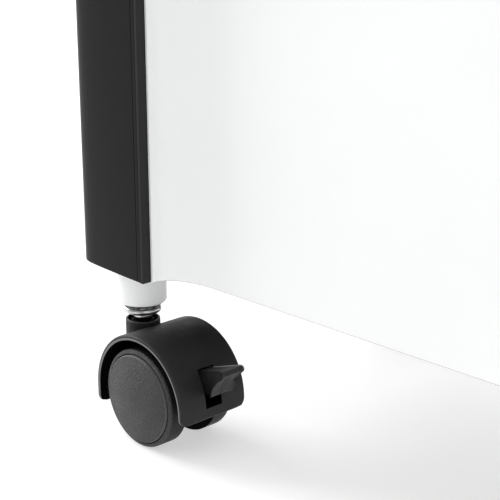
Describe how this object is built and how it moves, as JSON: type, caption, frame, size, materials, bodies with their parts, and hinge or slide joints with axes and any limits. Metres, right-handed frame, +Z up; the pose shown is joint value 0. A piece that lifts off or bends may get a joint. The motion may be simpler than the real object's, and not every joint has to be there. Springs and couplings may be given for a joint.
{
  "type": "oil filled radiator heater",
  "caption": "Upright oil filled room heater: white steel case with flared ends, black end covers, top grille and controls, standing on braked twin-wheel casters.",
  "frame": {"origin": "on the floor under the middle of the heater", "axes": "X along the heater's length with the controls at +X, Y across its width, Z up"},
  "size_m": [0.49, 0.26, 0.658],
  "materials": {
    "white_steel": "smooth satin white enamel on steel sheet",
    "black_gloss": "polished black plastic",
    "black_matte": "fine leather grain black nylon",
    "steel": "bare rolled steel",
    "core_paint": "grey enamel",
    "zinc": "bright zinc plate",
    "brass": "turned brass",
    "red_lens": "clear red lens",
    "cream_plastic": "moulded insulating plastic"
  },
  "bodies": {
    "heater": {"caster_stem_left_back": "zinc", "caster_stem_left_front": "zinc", "caster_stem_right_back": "zinc", "caster_stem_right_front": "zinc", "cord_gland": "black_matte", "core_bracket_left": "steel", "core_bracket_right": "steel", "cover_screw_left_back": "zinc", "cover_screw_left_front": "zinc", "cover_screw_right_back": "zinc", "cover_screw_right_front": "zinc", "element_flange": "brass", "end_cover_left": "black_gloss", "end_cover_right": "black_gloss", "foot_plate_left": "steel", "foot_plate_right": "steel", "grip_cup_left": "black_matte", "grip_cup_right": "black_matte", "heating_element": "zinc", "indicator_lens": "red_lens", "leg_collar_left_back": "white_steel", "leg_collar_left_front": "white_steel", "leg_collar_right_back": "white_steel", "leg_collar_right_front": "white_steel", "oil_core": "core_paint", "oil_filler_plug": "brass", "side_panel_back": "white_steel", "side_panel_front": "white_steel", "switch_housing_high": "black_matte", "switch_housing_low": "black_matte", "terminal_block": "cream_plastic", "thermal_cutout": "zinc", "thermostat": "cream_plastic", "tip_over_switch": "cream_plastic", "top_grille": "white_steel"},
    "caster_left_front": {"caster_hood_left_front": "black_matte", "caster_axle_left_front": "steel"},
    "wheel_left_front_outer": {"caster_wheel_left_front_outer": "black_matte"},
    "wheel_left_front_inner": {"caster_wheel_left_front_inner": "black_matte"},
    "brake_left_front": {"brake_lever_left_front": "black_matte"},
    "caster_left_back": {"caster_hood_left_back": "black_matte", "caster_axle_left_back": "steel"},
    "wheel_left_back_outer": {"caster_wheel_left_back_outer": "black_matte"},
    "wheel_left_back_inner": {"caster_wheel_left_back_inner": "black_matte"},
    "brake_left_back": {"brake_lever_left_back": "black_matte"},
    "caster_right_front": {"caster_hood_right_front": "black_matte", "caster_axle_right_front": "steel"},
    "wheel_right_front_outer": {"caster_wheel_right_front_outer": "black_matte"},
    "wheel_right_front_inner": {"caster_wheel_right_front_inner": "black_matte"},
    "brake_right_front": {"brake_lever_right_front": "black_matte"},
    "caster_right_back": {"caster_hood_right_back": "black_matte", "caster_axle_right_back": "steel"},
    "wheel_right_back_outer": {"caster_wheel_right_back_outer": "black_matte"},
    "wheel_right_back_inner": {"caster_wheel_right_back_inner": "black_matte"},
    "brake_right_back": {"brake_lever_right_back": "black_matte"},
    "knob": {"thermostat_knob": "black_gloss"},
    "rocker_low": {"switch_rocker_low": "black_gloss"},
    "rocker_high": {"switch_rocker_high": "black_gloss"}
  },
  "joints": [
    {"name": "swivel_left_front", "type": "hinge", "parent": "heater", "child": "caster_left_front", "pos_m": [-0.2215, -0.105, 0.0586], "axis": [0, 0, 1], "continuous": true},
    {"name": "wheel_left_front_outer_spin", "type": "hinge", "parent": "caster_left_front", "child": "wheel_left_front_outer", "pos_m": [-0.2013, -0.105, 0.0254], "axis": [0, 1, 0], "continuous": true},
    {"name": "wheel_left_front_inner_spin", "type": "hinge", "parent": "caster_left_front", "child": "wheel_left_front_inner", "pos_m": [-0.2013, -0.105, 0.0254], "axis": [0, 1, 0], "continuous": true},
    {"name": "brake_left_front_press", "type": "hinge", "parent": "caster_left_front", "child": "brake_left_front", "pos_m": [-0.1757, -0.105, 0.0364], "axis": [0, 1, 0], "range_deg": [0, 10]},
    {"name": "swivel_left_back", "type": "hinge", "parent": "heater", "child": "caster_left_back", "pos_m": [-0.2215, 0.105, 0.0586], "axis": [0, 0, 1], "continuous": true},
    {"name": "wheel_left_back_outer_spin", "type": "hinge", "parent": "caster_left_back", "child": "wheel_left_back_outer", "pos_m": [-0.2013, 0.105, 0.0254], "axis": [0, 1, 0], "continuous": true},
    {"name": "wheel_left_back_inner_spin", "type": "hinge", "parent": "caster_left_back", "child": "wheel_left_back_inner", "pos_m": [-0.2013, 0.105, 0.0254], "axis": [0, 1, 0], "continuous": true},
    {"name": "brake_left_back_press", "type": "hinge", "parent": "caster_left_back", "child": "brake_left_back", "pos_m": [-0.1757, 0.105, 0.0364], "axis": [0, 1, 0], "range_deg": [0, 10]},
    {"name": "swivel_right_front", "type": "hinge", "parent": "heater", "child": "caster_right_front", "pos_m": [0.2215, -0.105, 0.0586], "axis": [0, 0, 1], "continuous": true},
    {"name": "wheel_right_front_outer_spin", "type": "hinge", "parent": "caster_right_front", "child": "wheel_right_front_outer", "pos_m": [0.2013, -0.105, 0.0254], "axis": [0, 1, 0], "continuous": true},
    {"name": "wheel_right_front_inner_spin", "type": "hinge", "parent": "caster_right_front", "child": "wheel_right_front_inner", "pos_m": [0.2013, -0.105, 0.0254], "axis": [0, 1, 0], "continuous": true},
    {"name": "brake_right_front_press", "type": "hinge", "parent": "caster_right_front", "child": "brake_right_front", "pos_m": [0.1757, -0.105, 0.0364], "axis": [0, -1, 0], "range_deg": [0, 10]},
    {"name": "swivel_right_back", "type": "hinge", "parent": "heater", "child": "caster_right_back", "pos_m": [0.2215, 0.105, 0.0586], "axis": [0, 0, 1], "continuous": true},
    {"name": "wheel_right_back_outer_spin", "type": "hinge", "parent": "caster_right_back", "child": "wheel_right_back_outer", "pos_m": [0.2013, 0.105, 0.0254], "axis": [0, 1, 0], "continuous": true},
    {"name": "wheel_right_back_inner_spin", "type": "hinge", "parent": "caster_right_back", "child": "wheel_right_back_inner", "pos_m": [0.2013, 0.105, 0.0254], "axis": [0, 1, 0], "continuous": true},
    {"name": "brake_right_back_press", "type": "hinge", "parent": "caster_right_back", "child": "brake_right_back", "pos_m": [0.1757, 0.105, 0.0364], "axis": [0, -1, 0], "range_deg": [0, 10]},
    {"name": "thermostat_turn", "type": "hinge", "parent": "heater", "child": "knob", "pos_m": [0.217, -0.044, 0.6404], "axis": [0, 0, 1], "range_deg": [-270, 0]},
    {"name": "switch_low_rock", "type": "hinge", "parent": "heater", "child": "rocker_low", "pos_m": [0.217, 0.008, 0.636], "axis": [0, 1, 0], "range_deg": [-16, 0]},
    {"name": "switch_high_rock", "type": "hinge", "parent": "heater", "child": "rocker_high", "pos_m": [0.217, 0.04, 0.636], "axis": [0, 1, 0], "range_deg": [-16, 0]}
  ]
}
